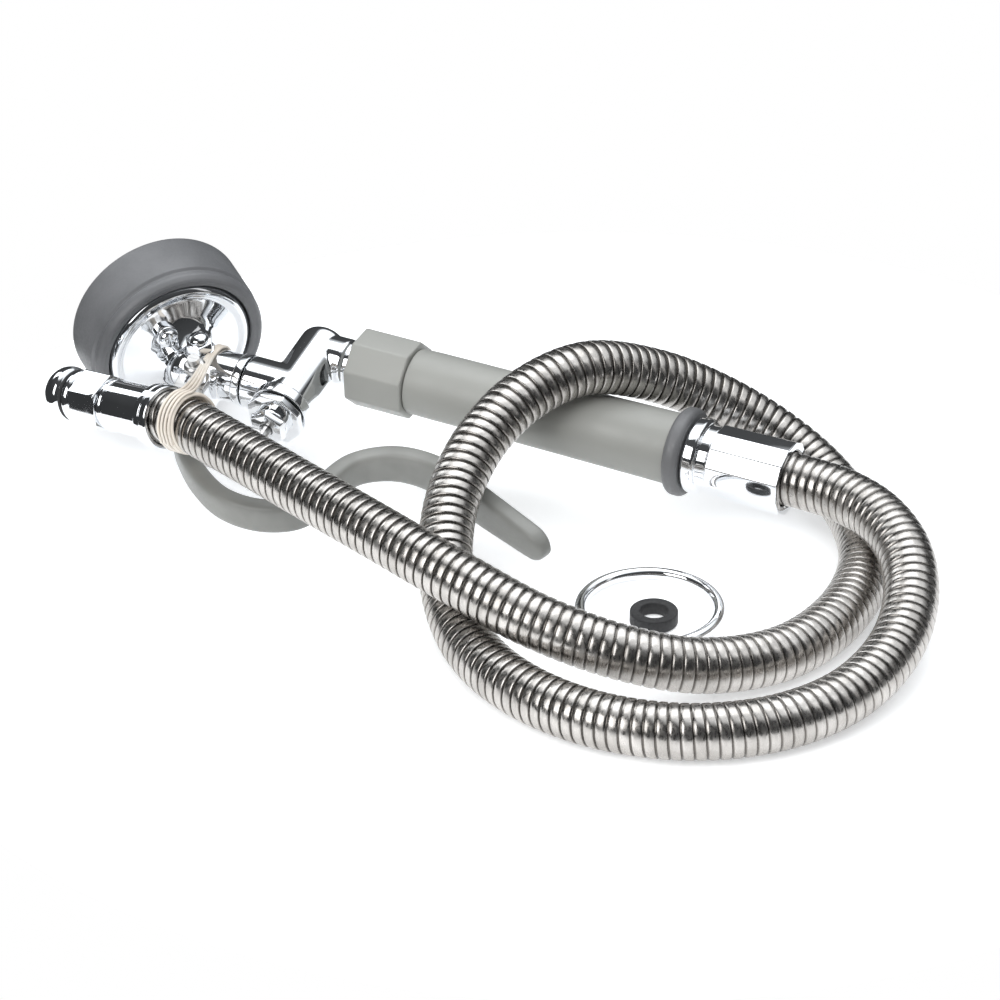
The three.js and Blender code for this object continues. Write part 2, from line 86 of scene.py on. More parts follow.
PIVOT = (-43, -36)
PIN_R = 2.2
FORK_HOLE_R = 2.3
KNUCKLE_HOLE_R = 2.4
PIN_CUT_HALF = 20
KNUCKLE_R = 5.2
KNUCKLE_HALF = 9
EYE_R = 6.4
EYE_PROUD = 0.1
FORK_INNER = 9.4
FORK_OUTER = 12

COLLAR_FROM = 6.5
COLLAR_TO = 30
COLLAR_ACROSS = 27.8
COLLAR_TURN = math.radians(-10)
SLEEVE_TO = 137.5
END_RING_TO = 144
FLANGE_TO = 154
FERRULE_TO = 183
FERRULE_POCKET = 6
TUBE_R = 8
GAP = 0.3

HOSE_R = 10
HOSE_PITCH = 3.9
INLET_AT = (-40, -71.8, 38.8)
INLET_DIRECTION = Vector((-0.948, 0.28, -0.18)).normalized()

RING_AT = (155.4, -61.6)
RING_R = 25.05
RING_WIRE_R = 2.25
WASHER_AT = (159, -65.8)
WASHER_R = 8.7
WASHER_HOLE_R = 5
WASHER_T = 5

# ---------- frames ----------
MM = 0.001
TINY = 1e-6
TABLE = Matrix.Scale(MM, 4) @ Matrix.Translation(CENTRE)
VALVE = (TABLE @ Matrix.Translation((0, 0, AXIS_HEIGHT))
         @ Matrix.Rotation(PITCH, 4, "Y") @ Matrix.Rotation(ROLL, 4, "X"))
HEAD = VALVE @ Matrix.Translation((*HEAD_AT, 0)) @ Matrix.Rotation(-HEAD_TURN, 4, "Z")
STEM = VALVE @ Matrix.Translation((BARREL_X, 0, 0)) @ Matrix.Rotation(-math.pi / 2, 4, "Z")
UPRIGHT = Matrix.Rotation(-math.pi / 2, 4, "Y")  # turns +X to +Z
HEAD_TUBE = VALVE @ Matrix.Translation((0, HEAD_TUBE_Y, 0))
PLUG = VALVE @ Matrix.Translation((PLUG_X, HEAD_TUBE_Y, 0)) @ UPRIGHT
PIN = VALVE @ Matrix.Translation((*PIVOT, 0)) @ UPRIGHT
INLET = (TABLE @ Matrix.Translation(INLET_AT)
         @ Vector((1, 0, 0)).rotation_difference(INLET_DIRECTION).to_matrix().to_4x4())


# ---------- camera ----------
CAMERA_TARGET = (31.2, 18.8, 0)
CAMERA_DISTANCE = 1866
CAMERA_AZIMUTH = math.radians(26.27)
CAMERA_ELEVATION = math.radians(30)
CAMERA_LENS = 180


def add_camera():
    back = Vector((
        math.sin(CAMERA_AZIMUTH) * math.cos(CAMERA_ELEVATION),
        -math.cos(CAMERA_AZIMUTH) * math.cos(CAMERA_ELEVATION),
        math.sin(CAMERA_ELEVATION),
    ))
    data = bpy.data.cameras.new("camera")
    data.lens = CAMERA_LENS
    data.clip_start = 0.05
    data.clip_end = 30
    camera = bpy.data.objects.new("camera", data)
    scene.collection.objects.link(camera)
    camera.location = (Vector(CAMERA_TARGET) + back * CAMERA_DISTANCE) * MM
    camera.rotation_mode = "QUATERNION"
    camera.rotation_quaternion = (-back).to_track_quat("-Z", "Y")
    scene.camera = camera


# ---------- material nodes ----------
class Look:
    """A node material whose shader is the standard principled one."""

    def __init__(self, name, metallic=0.0, **sockets):
        self.material = bpy.data.materials.new(name)
        self.material.use_nodes = True
        self.tree = self.material.node_tree
        self.shader = self.tree.nodes["Principled BSDF"]
        self.shader.inputs["Metallic"].default_value = metallic
        for socket, value in sockets.items():
            self.shader.inputs[socket.replace("_", " ")].default_value = value

    def node(self, kind, **inputs):
        made = self.tree.nodes.new(kind)
        for key, value in inputs.items():
            made.inputs[key.replace("_", " ")].default_value = value
        return made

    def link(self, output, target):
        self.tree.links.new(output, target)

    def place(self, stretch=(1, 1, 1)):
        coordinates = self.node("ShaderNodeTexCoord")
        mapping = self.node("ShaderNodeMapping")
        mapping.inputs["Scale"].default_value = stretch
        self.link(coordinates.outputs["Object"], mapping.inputs["Vector"])
        return mapping.outputs["Vector"]

    def noise(self, scale, detail=3.0, stretch=(1, 1, 1)):
        made = self.node("ShaderNodeTexNoise", Scale=scale, Detail=detail)
        self.link(self.place(stretch), made.inputs["Vector"])
        return made.outputs[0]

    def cells(self, scale):
        made = self.node("ShaderNodeTexVoronoi", Scale=scale)
        self.link(self.place(), made.inputs["Vector"])
        return made.outputs["Distance"]

    def span(self, value, low, high, start=0.35, end=0.65):
        made = self.node("ShaderNodeMapRange")
        limits = {"From Min": start, "From Max": end, "To Min": low, "To Max": high}
        for key, number in limits.items():
            made.inputs[key].default_value = number
        self.link(value, made.inputs["Value"])
        return made.outputs["Result"]

    def mix(self, factor, first, second):
        made = self.tree.nodes.new("ShaderNodeMix")
        made.data_type = "RGBA"
        self.link(factor, made.inputs[0])
        for index, colour in ((6, first), (7, second)):
            if isinstance(colour, tuple):
                made.inputs[index].default_value = (*colour, 1)
            else:
                self.link(colour, made.inputs[index])
        return made.outputs[2]

    def colour(self, output):
        self.link(output, self.shader.inputs["Base Color"])

    def roughness(self, output):
        self.link(output, self.shader.inputs["Roughness"])

    def bump(self, height, strength, distance=0.0003):
        made = self.node("ShaderNodeBump", Strength=strength, Distance=distance)
        self.link(height, made.inputs["Height"])
        before = self.shader.inputs["Normal"].links
        if before:
            self.link(before[0].from_socket, made.inputs["Normal"])
        self.link(made.outputs["Normal"], self.shader.inputs["Normal"])


def chrome():
    look = Look("chrome_plate", metallic=1.0)
    film = look.noise(34, 3)
    spots = look.noise(260, 4)
    look.colour(look.mix(look.span(film, 0, 1), (0.74, 0.755, 0.775), (0.86, 0.87, 0.885)))
    look.roughness(look.span(spots, 0.03, 0.085))
    look.bump(look.noise(150, 2), 0.03)
    return look.material


def brushed_steel():
    look = Look("satin_steel", metallic=1.0)
    streaks = look.noise(60, 5, (1, 14, 14))
    look.colour(look.mix(look.span(streaks, 0, 1), (0.50, 0.495, 0.49), (0.66, 0.655, 0.645)))
    look.roughness(look.span(streaks, 0.22, 0.42))
    look.bump(streaks, 0.12, 0.0001)
    return look.material


def hose_steel():
    look = Look("strip_wound_steel", metallic=1.0)
    groove_shade = look.node("ShaderNodeAttribute")
    groove_shade.attribute_name = "groove"
    wear = look.noise(90, 4)
    scratches = look.noise(900, 3, (1, 1, 0.2))
    bright = look.mix(look.span(wear, 0, 1), (0.42, 0.40, 0.378), (0.55, 0.527, 0.503))
    # the grooves are darkened towards (0.13, 0.12, 0.11): painted shade in the grooves, over their
    # real depth in the mesh
    look.colour(look.mix(groove_shade.outputs["Fac"], bright, (0.13, 0.12, 0.11)))
    look.roughness(look.span(scratches, 0.20, 0.36))
    look.bump(scratches, 0.08, 0.0001)
    return look.material


def brass():
    look = Look("machined_brass", metallic=1.0)
    tarnish = look.noise(140, 4)
    look.colour(look.mix(look.span(tarnish, 0, 1), (0.58, 0.42, 0.17), (0.78, 0.60, 0.28)))
    look.roughness(look.span(tarnish, 0.22, 0.4))
    look.bump(look.noise(700, 2, (1, 6, 6)), 0.06, 0.0001)
    return look.material


def rubber(name, dark, light, roughness, grain=900):
    look = Look(name)
    bloom = look.noise(42, 4)
    pores = look.noise(grain, 3)
    look.colour(look.mix(look.span(bloom, 0, 1), dark, light))
    look.roughness(look.span(pores, roughness - 0.08, roughness + 0.08))
    look.bump(pores, 0.16, 0.0002)
    look.bump(bloom, 0.05, 0.0008)
    return look.material


def moulded_plastic():
    look = Look("moulded_grip_plastic", **{"Specular_IOR_Level": 0.45})
    flow = look.noise(20, 3, (0.4, 1, 1))
    grain = look.cells(1500)
    look.colour(look.mix(look.span(flow, 0, 1), (0.300, 0.303, 0.285), (0.350, 0.353, 0.333)))
    look.roughness(look.span(look.noise(260, 3), 0.36, 0.5))
    look.bump(grain, 0.10, 0.00012)
    look.bump(flow, 0.06, 0.001)
    return look.material


def dipped_vinyl():
    look = Look("dipped_lever_coat")
    ripple = look.noise(70, 2)
    fine = look.noise(800, 2)
    look.colour(look.mix(look.span(ripple, 0, 1), (0.205, 0.208, 0.196), (0.250, 0.253, 0.239)))
    look.roughness(look.span(fine, 0.3, 0.42))
    look.bump(ripple, 0.12, 0.0008)
    look.bump(fine, 0.05, 0.0001)
    return look.material


LOOKS = {
    "chrome": chrome(),
    "steel": brushed_steel(),
    "hose_steel": hose_steel(),
    "brass": brass(),
    "bumper_rubber": rubber("bumper_rubber", (0.122, 0.125, 0.131), (0.165, 0.168, 0.175), 0.46),
    "ring_rubber": rubber("end_ring_rubber", (0.120, 0.122, 0.126), (0.155, 0.157, 0.162), 0.42),
    "black_rubber": rubber("black_rubber", (0.018, 0.018, 0.019), (0.035, 0.035, 0.036), 0.62),
    "grip_plastic": moulded_plastic(),
    "lever_coat": dipped_vinyl(),
    "band_rubber": rubber("natural_rubber", (0.68, 0.61, 0.53), (0.82, 0.77, 0.70), 0.5, 1400),
}


# ---------- mesh tools ----------
def rounded(profile, radius=0.5, steps=4):
    """The profile with its corners rounded, but not its ends unless it closes on itself."""
    points = [Vector(p) for p in profile]
    closed = (points[0] - points[-1]).length < TINY
    if closed:
        points = points[:-1]
    made = []
    last = len(points) - 1
    for i, corner in enumerate(points):
        if not closed and i in (0, last):
            made.append(corner)
            continue
        to_before = points[i - 1] - corner
        to_after = points[(i + 1) % len(points)] - corner
        reach = min(radius, to_before.length * 0.45, to_after.length * 0.45)
        start = corner + to_before.normalized() * reach
        end = corner + to_after.normalized() * reach
        for k in range(steps + 1):
            t = k / steps
            made.append(start * (1 - t) ** 2 + corner * 2 * t * (1 - t) + end * t ** 2)
    if closed:
        made.append(made[0].copy())
    return [(p.x, p.y) for p in made]


def ring_of(bm, radius, station, sides, turn=0.0):
    angles = [turn + 2 * math.pi * k / sides for k in range(sides)]
    return [bm.verts.new((station, radius * math.cos(a), radius * math.sin(a))) for a in angles]


def bridge(bm, first, second):
    """Faces between two rings, either of which may be a single point on the axis."""
    count = max(len(first), len(second))
    for k in range(count):
        after = (k + 1) % count
        corners = [first[k % len(first)], second[k % len(second)]]
        if len(second) > 1:
            corners.append(second[after])
        if len(first) > 1:
            corners.append(first[after])
        bm.faces.new(corners)


def lathe(profile, sides=96):
    """A closed body turned about +X from [radius, station] points."""
    bm = bmesh.new()
    closed = math.dist(profile[0], profile[-1]) < TINY
    points = profile[:-1] if closed else profile
    rings = [
        [bm.verts.new((station, 0, 0))] if radius < TINY else ring_of(bm, radius, station, sides)
        for radius, station in points
    ]
    for first, second in zip(rings, rings[1:]):
        bridge(bm, first, second)
    if closed:
        bridge(bm, rings[-1], rings[0])
    return tidy(bm)


def tidy(bm):
    bmesh.ops.recalc_face_normals(bm, faces=bm.faces)
    return bm


def rod(radius, start, end, edge=0.0, sides=64):
    profile = [(0, start), (radius, start), (radius, end), (0, end)]
    return lathe(rounded(profile, edge) if edge else profile, sides)


def sleeve(inner, outer, start, end, edge=0.3, sides=96):
    loop = [(inner, start), (outer, start), (outer, end), (inner, end), (inner, start)]
    return lathe(rounded(loop, edge), sides)


def prism(sides, across_from, across_to, start, end, bevel=0.5, turn=None):
    """A regular prism along +X between two stations, measured across its flats, with soft edges."""
    bm = bmesh.new()
    corner = 1 / (2 * math.cos(math.pi / sides))
    turn = math.pi / sides if turn is None else turn
    first = ring_of(bm, across_from * corner, start, sides, turn)
    second = ring_of(bm, across_to * corner, end, sides, turn)
    bridge(bm, first, second)
    bm.faces.new(first)
    bm.faces.new(second)
    tidy(bm)
    bmesh.ops.bevel(bm, geom=bm.edges[:], offset=bevel, segments=4, affect="EDGES", profile=0.5)
    return bm


def block(sx, sy, sz, x, y, z, bevel=0.4):
    bm = bmesh.new()
    bmesh.ops.create_cube(bm, size=1)
    bm.transform(Matrix.Translation((x, y, z)) @ Matrix.Diagonal((sx, sy, sz, 1)))
    bmesh.ops.bevel(bm, geom=bm.edges[:], offset=bevel, segments=3, affect="EDGES", profile=0.5)
    return bm


def ball(radius, x, y):
    bm = bmesh.new()
    bmesh.ops.create_uvsphere(bm, u_segments=48, v_segments=32, radius=radius)
    bm.transform(Matrix.Translation((x, y, 0)))
    return bm


def placed(bm, matrix):
    bm.transform(matrix)
    return bm


def at(bm, x, y, z=0):
    return placed(bm, Matrix.Translation((x, y, z)))


def merged(*parts):
    """One mesh that holds several bodies, without joining them."""
    whole = parts[0]
    for part in parts[1:]:
        mesh = bpy.data.meshes.new("scratch")
        part.to_mesh(mesh)
        part.free()
        whole.from_mesh(mesh)
        bpy.data.meshes.remove(mesh)
    return whole


def scratch_object(bm):
    mesh = bpy.data.meshes.new("scratch")
    bm.to_mesh(mesh)
    bm.free()
    made = bpy.data.objects.new("scratch", mesh)
    scene.collection.objects.link(made)
    return made


def evaluated(objects):
    """The first object's mesh with its modifiers applied; all the scratch objects are removed."""
    graph = bpy.context.evaluated_depsgraph_get()
    bm = bmesh.new()
    bm.from_mesh(objects[0].evaluated_get(graph).to_mesh())
    for one in objects:
        mesh = one.data
        bpy.data.objects.remove(one)
        bpy.data.meshes.remove(mesh)
    return bm


def boolean(operation, first, *others):
    objects = [scratch_object(bm) for bm in (first, *others)]
    for tool in objects[1:]:
        modifier = objects[0].modifiers.new("boolean", "BOOLEAN")
        modifier.operation = operation
        modifier.object = tool
        modifier.solver = "EXACT"
    return evaluated(objects)


def union(first, *others):
    return boolean("UNION", first, *others)


def cut(first, *tools):
    return boolean("DIFFERENCE", first, *tools)


CAST_VOXEL = 0.42


def cast(smoothing, *parts):
    """Bodies grown together as one casting, with soft fillets where they meet."""
    body = scratch_object(merged(*parts))
    remesh = body.modifiers.new("remesh", "REMESH")
    remesh.mode = "VOXEL"
    remesh.voxel_size = CAST_VOXEL
    smooth = body.modifiers.new("smooth", "SMOOTH")
    smooth.factor = 0.5
    smooth.iterations = smoothing
    return evaluated([body])


def fine(node, bm, place, sharp=32):
    """A detailed piece that stands for a CAD node, on that node's body and with its slot."""
    bm.transform(place)
    mesh = bpy.data.meshes.new(f"{node}_fine")
    bm.to_mesh(mesh)
    bm.free()
    mesh.shade_smooth()
    mesh.set_sharp_from_angle(angle=math.radians(sharp))
    mesh.materials.append(LOOKS[SLOT_OF[node]])
    made = bpy.data.objects.new(f"{node}_fine", mesh)
    scene.collection.objects.link(made)
    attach(made, BODY_OF[node])
    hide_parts(node)
    return made


# ---------- hose ----------
def on_grip(x):
    return (x * math.cos(PITCH), 0, AXIS_HEIGHT - x * math.sin(PITCH))


def behind_inlet(back):
    return tuple(Vector(INLET_AT) - INLET_DIRECTION * back)


HOSE_ROUTE = [
    on_grip(FERRULE_TO - FERRULE_POCKET + GAP), on_grip(189), (204, -2, 31), (221, -9, 30),
    (237, -23, 27), (248, -43, 21), (252, -68, 15), (247, -96, 11), (232, -122, 10.1),
    (207, -141, 10.1), (176, -148, 10.1), (143, -142, 10.1), (115, -125, 11), (94, -101, 18),
    (82, -75, 31), (80, -49, 44), (87, -24, 54.3), (101, -1.5, 58.1), (119, 18.4, 49.9),
    (139, 31.5, 38.2), (161, 36.5, 26.4), (183, 31.5, 17), (204, 14, 10.8), (219, -15, 10.1),
    (223, -51, 10.1), (215, -82, 10.8), (195, -106, 14), (171, -119, 20), (141, -124, 27),
    (109, -121, 34), (73, -112, 38.6), (34, -98.5, 40.4), (-2, -85, 41.2), behind_inlet(13),
    INLET_AT,
]


def centripetal(points, per_segment):
    """A centripetal Catmull-Rom curve through the points, as a dense row of points."""
    p = np.array(points, float)
    p = np.vstack([2 * p[0] - p[1], p, 2 * p[-1] - p[-2]])
    made = []
    for i in range(1, len(p) - 2):
        knots = [0.0]
        for k in range(3):
            knots.append(knots[-1] + np.linalg.norm(p[i + k] - p[i + k - 1]) ** 0.5)
        t0, t1, t2, t3 = knots
        t = np.linspace(t1, t2, per_segment, endpoint=False)[:, None]
        a1 = ((t1 - t) * p[i - 1] + (t - t0) * p[i]) / (t1 - t0)
        a2 = ((t2 - t) * p[i] + (t - t1) * p[i + 1]) / (t2 - t1)
        a3 = ((t3 - t) * p[i + 1] + (t - t2) * p[i + 2]) / (t3 - t2)
        b1 = ((t2 - t) * a1 + (t - t0) * a2) / (t2 - t0)
        b2 = ((t3 - t) * a2 + (t - t1) * a3) / (t3 - t1)
        made.append(((t2 - t) * b1 + (t - t1) * b2) / (t2 - t1))
    made.append(p[-2][None, :])
    return np.vstack(made)


class Line:
    """A smooth line with a frame that doesn't twist, looked up by the distance along it."""

    def __init__(self, points, side=(0, 0, 1)):
        self.points = np.asarray(points, float)
        steps = np.linalg.norm(np.diff(self.points, axis=0), axis=1)
        self.distance = np.concatenate([[0], np.cumsum(steps)])
        self.length = float(self.distance[-1])
        self.along = np.gradient(self.points, self.distance, axis=0)
        self.along /= np.linalg.norm(self.along, axis=1)[:, None]
        u = np.array(side, float)
        sides = []
        for t in self.along:
            u = u - t * (u @ t)
            u = u / np.linalg.norm(u)
            sides.append(u)
        self.side = np.array(sides)

    def look_up(self, values, s):
        return np.stack([np.interp(s, self.distance, values[:, k]) for k in range(3)], axis=-1)

    def frame(self, s):
        along = self.look_up(self.along, s)
        along /= np.linalg.norm(along, axis=-1)[..., None]
        u = self.look_up(self.side, s)
        u -= along * np.sum(u * along, axis=-1)[..., None]
        u /= np.linalg.norm(u, axis=-1)[..., None]
        return self.look_up(self.points, s), u, np.cross(along, u)


# One turn of the wound strip: how far along the pitch, how far below the outer radius, and how
# much painted shade darkens the colour there (shade painted into the grooves).
STRIP = [
    (0.00, 0.50, 1.0), (0.09, 0.50, 1.0), (0.12, 0.22, 0.7), (0.16, 0.06, 0.1),
    (0.28, 0.00, 0.0), (0.66, 0.02, 0.0), (0.88, 0.12, 0.0), (0.95, 0.34, 0.6),
]
HOSE_SIDES = 36
HOSE_SAMPLES = 40  # points between two points of the route
PATH_EVERY = 8  # how many of those points one point of the cord's path stands for


def spiral_tube(line, radius, pitch, strip, sides):
    """A tube wound from one strip, its mesh following the helix, with both ends closed."""
    per_turn = len(strip)
    turns = int((line.length - pitch) / pitch)
    rows = turns * per_turn
    stations = np.array([(i // per_turn + strip[i % per_turn][0]) * pitch for i in range(rows)])
    depths = np.array([strip[i % per_turn][1] for i in range(rows)])
    shades = np.repeat([strip[i % per_turn][2] for i in range(rows)], sides)
    stations *= (line.length - pitch) / stations[-1]
    share = np.arange(sides) / sides
    centre, u, v = line.frame(stations[:, None] + pitch * share[None, :])
    angle = (2 * math.pi * share)[None, :, None]
    reach = (radius - depths)[:, None, None]
    points = centre + reach * (np.cos(angle) * u + np.sin(angle) * v)

    def index(i, j):
        return i * sides + j if j < sides else (i + per_turn) * sides

    faces = [
        (index(i, j), index(i + 1, j), index(i + 1, j + 1), index(i, j + 1))
        for i in range(rows - 1)
        for j in range(sides)
        if j < sides - 1 or i + 1 + per_turn < rows
    ]
    last = rows - 1
    faces.append([index(0, j) for j in range(sides)]
                 + [index(i, 0) for i in range(per_turn, 0, -1)])
    faces.append([index(last, j) for j in range(sides)]
                 + [index(last - i, sides - 1) for i in range(1, per_turn + 1)])
    return points.reshape(-1, 3), faces, shades


def add_hose():
    line = Line(centripetal(HOSE_ROUTE, HOSE_SAMPLES))
    points, faces, shades = spiral_tube(line, HOSE_R, HOSE_PITCH, STRIP, HOSE_SIDES)
    mesh = bpy.data.meshes.new("hose_fine")
    mesh.from_pydata(points.tolist(), [], faces)
    bm = bmesh.new()
    bm.from_mesh(mesh)
    bpy.data.meshes.remove(mesh)
    # the groove layer carries the painted shade of the grooves that the hose material reads
    groove = bm.verts.layers.float.new("groove")
    bm.verts.ensure_lookup_table()
    for vertex, shade in zip(bm.verts, shades):
        vertex[groove] = shade
    made = fine("hose", tidy(bm), TABLE, sharp=48)
    path = [TABLE @ Vector(p) for p in line.points[::PATH_EVERY]]
    path.append(TABLE @ Vector(line.points[-1]))
    return made, path, line.length * MM


# ---------- spray head ----------
def polar(radius, degrees):
    a = math.radians(degrees)
    return radius * math.cos(a), radius * math.sin(a)


def on_circle(bm, angle):
    return at(bm, 0, *polar(DISH_SCREW_CIRCLE, angle))


def in_head(bm):
    """From the valve frame to the head frame."""
    return placed(bm, HEAD.inverted() @ VALVE)


def upright(bm, x, y):
    return placed(bm, Matrix.Translation((x, y, 0)) @ UPRIGHT)


def add_spray_head():
    bell = lathe(rounded([
        (BELL_R, -BELL_DEPTH), (BELL_R, -2.6), (28.3, -0.6), (27.0, 0.6), (25.6, 0.9), (24.4, 0.2),
        (23.6, 0.0), (21, 1.0), (16, 3.0), (12.4, 5.6), (10.4, 8.4), (9.6, 11), (WATERWAY_R, 11),
        (WATERWAY_R, 5), (10, 1), (20, -2.4), (BELL_R - 2, -4), (BELL_R - 2, -BELL_DEPTH),
        (BELL_R, -BELL_DEPTH),
    ], 1.6, 5), 160)
    neck = lathe([(0, 1), (13.4, 1), (13.4, 3.4), (11.2, 6), (9.9, 9), (9.4, 12), (0, 12)], 64)
    tube = at(rod(HEAD_TUBE_R, ELBOW_X, HEAD_SEAM_X - 2), 0, HEAD_TUBE_Y)
    knuckle = upright(rod(KNUCKLE_R, -KNUCKLE_HALF, KNUCKLE_HALF, 0.8), *PIVOT)
    web = block(9, 9, 12, PIVOT[0], PIVOT[1] + 7, 0)
    hub = upright(rod(5.6, 2, 11), PLUG_X, HEAD_TUBE_Y)
    crotch = ball(9.9, ELBOW_X, HEAD_TUBE_Y)
    bosses = [on_circle(rod(4.4, -1.5, 6.5, 0.6), angle) for angle in DISH_SCREW_ANGLES]
    body = cast(9, neck, in_head(merged(tube, knuckle, web, hub, crotch)), *bosses)
    lip = in_head(at(lathe(rounded([
        (0, HEAD_SEAM_X - 4), (9.3, HEAD_SEAM_X - 4), (10.2, HEAD_SEAM_X - 3.4),
        (10.2, HEAD_SEAM_X - 0.2), (0, HEAD_SEAM_X - 0.2),
    ], 0.5)), 0, HEAD_TUBE_Y))
    ways = in_head(merged(
        at(rod(WATERWAY_R, ELBOW_X + 2, HEAD_SEAM_X + 1), 0, HEAD_TUBE_Y),
        upright(rod(KNUCKLE_HOLE_R, -PIN_CUT_HALF, PIN_CUT_HALF), *PIVOT),
    ))
    fine("spray_head", cut(union(bell, body, lip), ways), HEAD, sharp=40)

    for number, angle in enumerate(DISH_SCREW_ANGLES, 1):
        head = lathe(rounded([
            (0, 6.8), (3.8, 6.8), (3.8, 7.9), (3.0, 9.0), (1.6, 9.5), (0, 9.6),
        ], 0.4), 48)
        slotted = cut(head, block(1.8, 0.9, 9, 9.7, 0, 0, 0.05))
        fine(f"dish_screw_{number}", on_circle(slotted, angle), HEAD)

    plug = union(
        rod(3.6, 10.8, 12.2, 0.2),
        prism(6, 9.5, 9.5, 11.3, 15, 0.35),
        lathe(rounded([
            (0, 14), (3.9, 14), (3.9, 15.6), (3.2, 16.8), (1.6, 17.6), (0, 17.7),
        ], 0.5), 48),
    )
    fine("hub_plug", plug, PLUG)


def add_bumper():
    inner = BELL_R + GAP
    step = -BUMPER_DEPTH + BUMPER_LIP
    loop = [
        (inner, -0.4), (inner, step), (inner - 2.2, step), (inner - 2.2, -BUMPER_DEPTH),
        (BUMPER_R - 1.6, -BUMPER_DEPTH), (BUMPER_R, -BUMPER_DEPTH + 1.6), (BUMPER_R, -5.6),
        (BUMPER_R - 0.35, -5.2), (BUMPER_R - 1.1, -4.5), (BUMPER_R - 1.1, -3.7),
        (BUMPER_R - 0.4, -3.1), (BUMPER_R - 0.4, -1.2), (BUMPER_R - 1.6, 0.5), (inner + 2.6, 0.9),
        (inner + 1.7, 0.5), (inner + 0.7, 0.5), (inner, -0.4),
    ]
    fine("bumper", lathe(rounded(loop, 0.7, 5), 192), HEAD, sharp=60)


SPRAY_RINGS = ((6, 6.5), (12, 14.2), (18, 21.5))  # how many jets, and the radius of their circle
NOZZLE_R = 2.0
JET_R = 1.0
CLEAR_OF_POST = 4.8
PLATE_SCREW_R = 2.9


def add_spray_plate():
    back = -BELL_DEPTH - GAP - FACE_GASKET_T - GAP
    front = back - SPRAY_PLATE_T
    outer = BELL_R - 0.2
    disc = lathe(rounded([
        (0, back), (outer, back), (outer, front), (25.4, front), (24.6, front - 0.5),
        (4, front - 0.9), (0, front - 0.9),
    ], 0.4), 128)
    posts = [polar(DISH_SCREW_CIRCLE, angle) for angle in DISH_SCREW_ANGLES]
    nozzles = []
    jets = []
    for count, radius in SPRAY_RINGS:
        for k in range(count):
            y, z = polar(radius, (k + 0.5) * 360 / count)
            if min(math.dist((y, z), post) for post in posts) > CLEAR_OF_POST:
                nozzles.append(at(rod(NOZZLE_R, front - 1.5, front, 0.35, 24), 0, y, z))
                jets.append(at(rod(JET_R, front - 4, back + 1, 0, 20), 0, y, z))
    screws = [
        on_circle(rod(PLATE_SCREW_R, front - 1.9, front, 0.5, 32), angle)
        for angle in DISH_SCREW_ANGLES
    ]
    plate = union(disc, merged(*nozzles, *screws))
    fine("spray_plate", cut(plate, merged(*jets)), HEAD)


# ---------- valve body and its stem line ----------
def barrel_line(bm):
    """From the stem frame to the valve frame."""
    return placed(bm, VALVE.inverted() @ STEM)


def add_valve_body():
    barrel = barrel_line(lathe(rounded([
        (0, BARREL_FROM), (6, BARREL_FROM + 0.6), (BARREL_R, BARREL_FROM + 4.4),
        (BARREL_R, BARREL_TO), (0, BARREL_TO),
    ], 2.0), 96))
    outlet = at(rod(HEAD_TUBE_R + 0.6, HEAD_SEAM_X + 0.3, BARREL_X), 0, HEAD_TUBE_Y)
    neck = rod(9.2, BARREL_X, 2, 0.8)
    spigot = rod(8, 1, 13)
    body = cast(10, barrel, outlet, neck, spigot)
    collar = barrel_line(lathe(rounded([
        (0, BARREL_TO - 5.4), (10.4, BARREL_TO - 5.4), (11.3, BARREL_TO - 4.6), (11.3, BARREL_TO),
        (0, BARREL_TO),
    ], 0.5)))
    bores = merged(
        barrel_line(rod(6.8, BARREL_FROM + 2.5, 8)),
        barrel_line(rod(4, 7, 11)),
        barrel_line(rod(8.3, 10, BARREL_TO + 1)),
    )
    ways = merged(
        at(rod(WATERWAY_R, HEAD_SEAM_X - 1, BARREL_X - 12), 0, HEAD_TUBE_Y),
        rod(5.2, 4, 14),
    )
    fine("valve_body", cut(union(body, collar), bores, ways), VALVE, sharp=40)


def add_stem_line():
    gasket_from = BARREL_TO + GAP
    gasket = sleeve(8.6, 9.8, gasket_from, gasket_from + 0.6, 0.15)
    fine("bonnet_gasket", gasket, STEM)
    bonnet = union(
        prism(8, 21.4, 21.4, gasket_from + BONNET_FROM, BONNET_FLATS_TO, 0.45),
        rod(7, 36.8, BONNET_TO, 0.4),
    )
    fine("bonnet", cut(bonnet, rod(STEM_R + GAP, 24, 47)), STEM)
    nut = prism(6, 14, 12.5, BONNET_TO + GAP, PACKING_NUT_TO, 0.4)
    fine("packing_nut", cut(nut, rod(STEM_R + GAP, 38, 50)), STEM)
    start = STEM_TIP - BUTTON_T
    button = [
        (0, start), (3.9, start), (3.9, STEM_TIP - 1.6), (2.6, STEM_TIP - 0.2), (0, STEM_TIP),
    ]
    socket = rod(STEM_R + 0.2, start - 1, STEM_TIP - 2.7)
    fine("stem_button", cut(lathe(rounded(button, 0.8), 64), socket), STEM)


# ---------- lever ----------
def extruded(outline, start, end, bevel):
    bm = bmesh.new()
    low = [bm.verts.new((x, y, start)) for x, y in outline]
    high = [bm.verts.new((x, y, end)) for x, y in outline]
    bm.faces.new(low)
    bm.faces.new(high)
    bridge(bm, low, high)
    tidy(bm)
    bmesh.ops.bevel(bm, geom=bm.edges[:], offset=bevel, segments=3, affect="EDGES", profile=0.5)
    return bm
